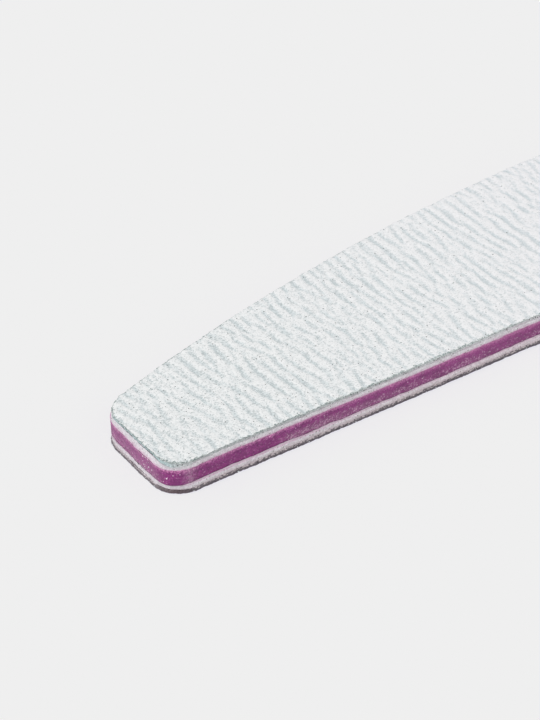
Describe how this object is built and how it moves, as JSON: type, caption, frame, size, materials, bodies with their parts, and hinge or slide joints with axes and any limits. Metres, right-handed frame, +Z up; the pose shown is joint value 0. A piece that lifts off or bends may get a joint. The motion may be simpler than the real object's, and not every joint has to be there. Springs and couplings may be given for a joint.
{
  "type": "emery board",
  "caption": "Half-moon nail file: a stiff magenta core between thin foam cushions, faced both sides with rippled abrasive paper.",
  "frame": {"origin": "centre of the board's footprint, on the abrasive face that it rests on", "axes": "+X along the length, +Y across the board from the straight edge to the curved edge, +Z up through the layers"},
  "size_m": [0.178, 0.03, 0.0043],
  "materials": {
    "core_plastic": "satin",
    "cushion_foam": "matte",
    "glue_film": "satin",
    "backing_paper": "matte",
    "abrasive_grit": "matte"
  },
  "bodies": {
    "root": {"core_board": "core_plastic", "upper_foam": "cushion_foam", "lower_foam": "cushion_foam", "upper_core_adhesive": "glue_film", "lower_core_adhesive": "glue_film", "upper_paper_adhesive": "glue_film", "lower_paper_adhesive": "glue_film", "upper_backing_paper": "backing_paper", "lower_backing_paper": "backing_paper", "upper_grit_coat": "abrasive_grit", "lower_grit_coat": "abrasive_grit"}
  },
  "joints": []
}
